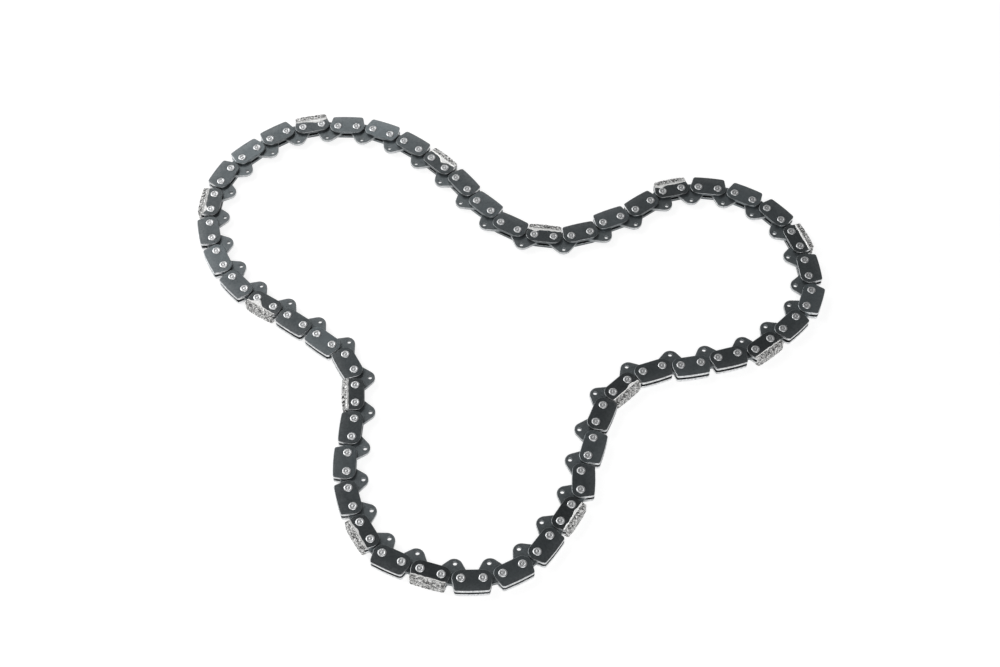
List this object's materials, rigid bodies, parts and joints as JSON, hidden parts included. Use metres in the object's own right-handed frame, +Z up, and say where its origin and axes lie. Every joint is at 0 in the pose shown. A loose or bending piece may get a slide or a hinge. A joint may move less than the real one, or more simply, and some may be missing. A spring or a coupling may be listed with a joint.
{
  "type": "diamond saw chain",
  "caption": "Closed loop of diamond cutting chain: riveted drive links with guide tangs, bumper side plates and plates carrying diamond segments.",
  "frame": {"origin": "middle of the loop's box on the surface that it lies on", "axes": "+Z up, square to the plates; +X along the loop's longest extent; the tangs point to the inside of the loop"},
  "size_m": [0.318, 0.285, 0.0057],
  "materials": {
    "plate_steel": "satin black oxide on blanked steel, edges rubbed bright",
    "link_steel": "satin black oxide, slightly greyer than the side plates",
    "rivet_steel": "bare spun rivet heads, satin",
    "diamond_matrix": "gritty diamond in nickel-coloured metal, bright bonding metal at its foot"
  },
  "bodies": {
    "section_01": {"side_plates_01": "plate_steel", "rivets_01": "rivet_steel", "drive_links_01": "link_steel", "diamond_segments_01": "diamond_matrix"},
    "link_01": {"hinged_drive_link_01": "link_steel"},
    "section_02": {"side_plates_02": "plate_steel", "rivets_02": "rivet_steel", "drive_links_02": "link_steel", "diamond_segments_02": "diamond_matrix"},
    "link_02": {"hinged_drive_link_02": "link_steel"},
    "section_03": {"side_plates_03": "plate_steel", "rivets_03": "rivet_steel", "drive_links_03": "link_steel", "diamond_segments_03": "diamond_matrix"},
    "link_03": {"hinged_drive_link_03": "link_steel"},
    "section_04": {"side_plates_04": "plate_steel", "rivets_04": "rivet_steel", "drive_links_04": "link_steel", "diamond_segments_04": "diamond_matrix"},
    "link_04": {"hinged_drive_link_04": "link_steel"},
    "section_05": {"side_plates_05": "plate_steel", "rivets_05": "rivet_steel", "drive_links_05": "link_steel", "diamond_segments_05": "diamond_matrix"},
    "link_05": {"hinged_drive_link_05": "link_steel"},
    "section_06": {"side_plates_06": "plate_steel", "rivets_06": "rivet_steel", "drive_links_06": "link_steel", "diamond_segments_06": "diamond_matrix"},
    "link_06": {"hinged_drive_link_06": "link_steel"},
    "section_07": {"side_plates_07": "plate_steel", "rivets_07": "rivet_steel", "drive_links_07": "link_steel", "diamond_segments_07": "diamond_matrix"},
    "link_07": {"hinged_drive_link_07": "link_steel"},
    "section_08": {"side_plates_08": "plate_steel", "rivets_08": "rivet_steel", "drive_links_08": "link_steel", "diamond_segments_08": "diamond_matrix"},
    "link_08": {"hinged_drive_link_08": "link_steel"},
    "section_09": {"side_plates_09": "plate_steel", "rivets_09": "rivet_steel", "drive_links_09": "link_steel", "diamond_segments_09": "diamond_matrix"},
    "link_09": {"hinged_drive_link_09": "link_steel"},
    "section_10": {"side_plates_10": "plate_steel", "rivets_10": "rivet_steel", "drive_links_10": "link_steel", "diamond_segments_10": "diamond_matrix"},
    "link_10": {"hinged_drive_link_10": "link_steel"},
    "section_11": {"side_plates_11": "plate_steel", "rivets_11": "rivet_steel", "drive_links_11": "link_steel"},
    "link_11": {"hinged_drive_link_11": "link_steel"},
    "section_12": {"side_plates_12": "plate_steel", "rivets_12": "rivet_steel", "drive_links_12": "link_steel", "diamond_segments_12": "diamond_matrix"},
    "link_12": {"hinged_drive_link_12": "link_steel"}
  },
  "joints": [
    {"name": "link_01_in", "type": "hinge", "parent": "section_01", "child": "link_01", "pos_m": [-0.04544, 0.117, 0.00285], "axis": [0, 0, 1], "range_deg": [-19, 6]},
    {"name": "link_01_out", "type": "hinge", "parent": "link_01", "child": "section_02", "pos_m": [-0.03862, 0.11107, 0.00285], "axis": [0, 0, 1], "range_deg": [-6, 19]},
    {"name": "link_02_in", "type": "hinge", "parent": "section_02", "child": "link_02", "pos_m": [0.07541, 0.08046, 0.00285], "axis": [0, 0, 1], "range_deg": [-42, 21]},
    {"name": "link_02_out", "type": "hinge", "parent": "link_02", "child": "section_03", "pos_m": [0.08212, 0.08651, 0.00285], "axis": [0, 0, 1], "range_deg": [-21, 42]},
    {"name": "link_03_in", "type": "hinge", "parent": "section_03", "child": "link_03", "pos_m": [0.12818, 0.08018, 0.00285], "axis": [0, 0, 1], "range_deg": [-36, 20]},
    {"name": "link_03_out", "type": "hinge", "parent": "link_03", "child": "section_04", "pos_m": [0.13519, 0.07446, 0.00285], "axis": [0, 0, 1], "range_deg": [-20, 36]},
    {"name": "link_04_in", "type": "hinge", "parent": "section_04", "child": "link_04", "pos_m": [0.15192, 0.03068, 0.00285], "axis": [0, 0, 1], "range_deg": [-23, 31]},
    {"name": "link_04_out", "type": "hinge", "parent": "link_04", "child": "section_05", "pos_m": [0.15224, 0.02164, 0.00285], "axis": [0, 0, 1], "range_deg": [-31, 23]},
    {"name": "link_05_in", "type": "hinge", "parent": "section_05", "child": "link_05", "pos_m": [0.10253, -0.01832, 0.00285], "axis": [0, 0, 1], "range_deg": [-20, 25]},
    {"name": "link_05_out", "type": "hinge", "parent": "link_05", "child": "section_06", "pos_m": [0.09389, -0.02096, 0.00285], "axis": [0, 0, 1], "range_deg": [-25, 20]},
    {"name": "link_06_in", "type": "hinge", "parent": "section_06", "child": "link_06", "pos_m": [0.04161, -0.05426, 0.00285], "axis": [0, 0, 1], "range_deg": [-22, 15]},
    {"name": "link_06_out", "type": "hinge", "parent": "link_06", "child": "section_07", "pos_m": [0.04004, -0.06316, 0.00285], "axis": [0, 0, 1], "range_deg": [-15, 22]},
    {"name": "link_07_in", "type": "hinge", "parent": "section_07", "child": "link_07", "pos_m": [0.01238, -0.12298, 0.00285], "axis": [0, 0, 1], "range_deg": [-42, 21]},
    {"name": "link_07_out", "type": "hinge", "parent": "link_07", "child": "section_08", "pos_m": [0.00566, -0.12903, 0.00285], "axis": [0, 0, 1], "range_deg": [-21, 42]},
    {"name": "link_08_in", "type": "hinge", "parent": "section_08", "child": "link_08", "pos_m": [-0.0754, -0.06999, 0.00285], "axis": [0, 0, 1], "range_deg": [-22, 15]},
    {"name": "link_08_out", "type": "hinge", "parent": "link_08", "child": "section_09", "pos_m": [-0.07383, -0.06108, 0.00285], "axis": [0, 0, 1], "range_deg": [-15, 22]},
    {"name": "link_09_in", "type": "hinge", "parent": "section_09", "child": "link_09", "pos_m": [-0.07884, -0.01419, 0.00285], "axis": [0, 0, 1], "range_deg": [-19, 6]},
    {"name": "link_09_out", "type": "hinge", "parent": "link_09", "child": "section_10", "pos_m": [-0.08566, -0.00826, 0.00285], "axis": [0, 0, 1], "range_deg": [-6, 19]},
    {"name": "link_10_in", "type": "hinge", "parent": "section_10", "child": "link_10", "pos_m": [-0.12413, 0.02058, 0.00285], "axis": [0, 0, 1], "range_deg": [-36, 20]},
    {"name": "link_10_out", "type": "hinge", "parent": "link_10", "child": "section_11", "pos_m": [-0.13113, 0.0263, 0.00285], "axis": [0, 0, 1], "range_deg": [-20, 36]},
    {"name": "link_11_in", "type": "hinge", "parent": "section_11", "child": "link_11", "pos_m": [-0.15204, 0.06872, 0.00285], "axis": [0, 0, 1], "range_deg": [-23, 31]},
    {"name": "link_11_out", "type": "hinge", "parent": "link_11", "child": "section_12", "pos_m": [-0.15235, 0.07775, 0.00285], "axis": [0, 0, 1], "range_deg": [-31, 23]},
    {"name": "link_12_in", "type": "hinge", "parent": "section_12", "child": "link_12", "pos_m": [-0.11643, 0.13094, 0.00285], "axis": [0, 0, 1], "range_deg": [-20, 25]}
  ],
  "couplings": [
    {"joint": "link_01_out", "follows": "link_01_in", "ratio": -1},
    {"joint": "link_09_in", "follows": "link_01_in", "ratio": 1},
    {"joint": "link_09_out", "follows": "link_01_in", "ratio": -1},
    {"joint": "link_02_out", "follows": "link_02_in", "ratio": -1},
    {"joint": "link_07_in", "follows": "link_02_in", "ratio": 1},
    {"joint": "link_07_out", "follows": "link_02_in", "ratio": -1},
    {"joint": "link_03_out", "follows": "link_03_in", "ratio": -1},
    {"joint": "link_10_in", "follows": "link_03_in", "ratio": 1},
    {"joint": "link_10_out", "follows": "link_03_in", "ratio": -1},
    {"joint": "link_04_out", "follows": "link_04_in", "ratio": -1},
    {"joint": "link_11_in", "follows": "link_04_in", "ratio": 1},
    {"joint": "link_11_out", "follows": "link_04_in", "ratio": -1},
    {"joint": "link_05_out", "follows": "link_05_in", "ratio": -1},
    {"joint": "link_12_in", "follows": "link_05_in", "ratio": 1},
    {"joint": "link_06_out", "follows": "link_06_in", "ratio": -1},
    {"joint": "link_08_in", "follows": "link_06_in", "ratio": 1},
    {"joint": "link_08_out", "follows": "link_06_in", "ratio": -1}
  ]
}
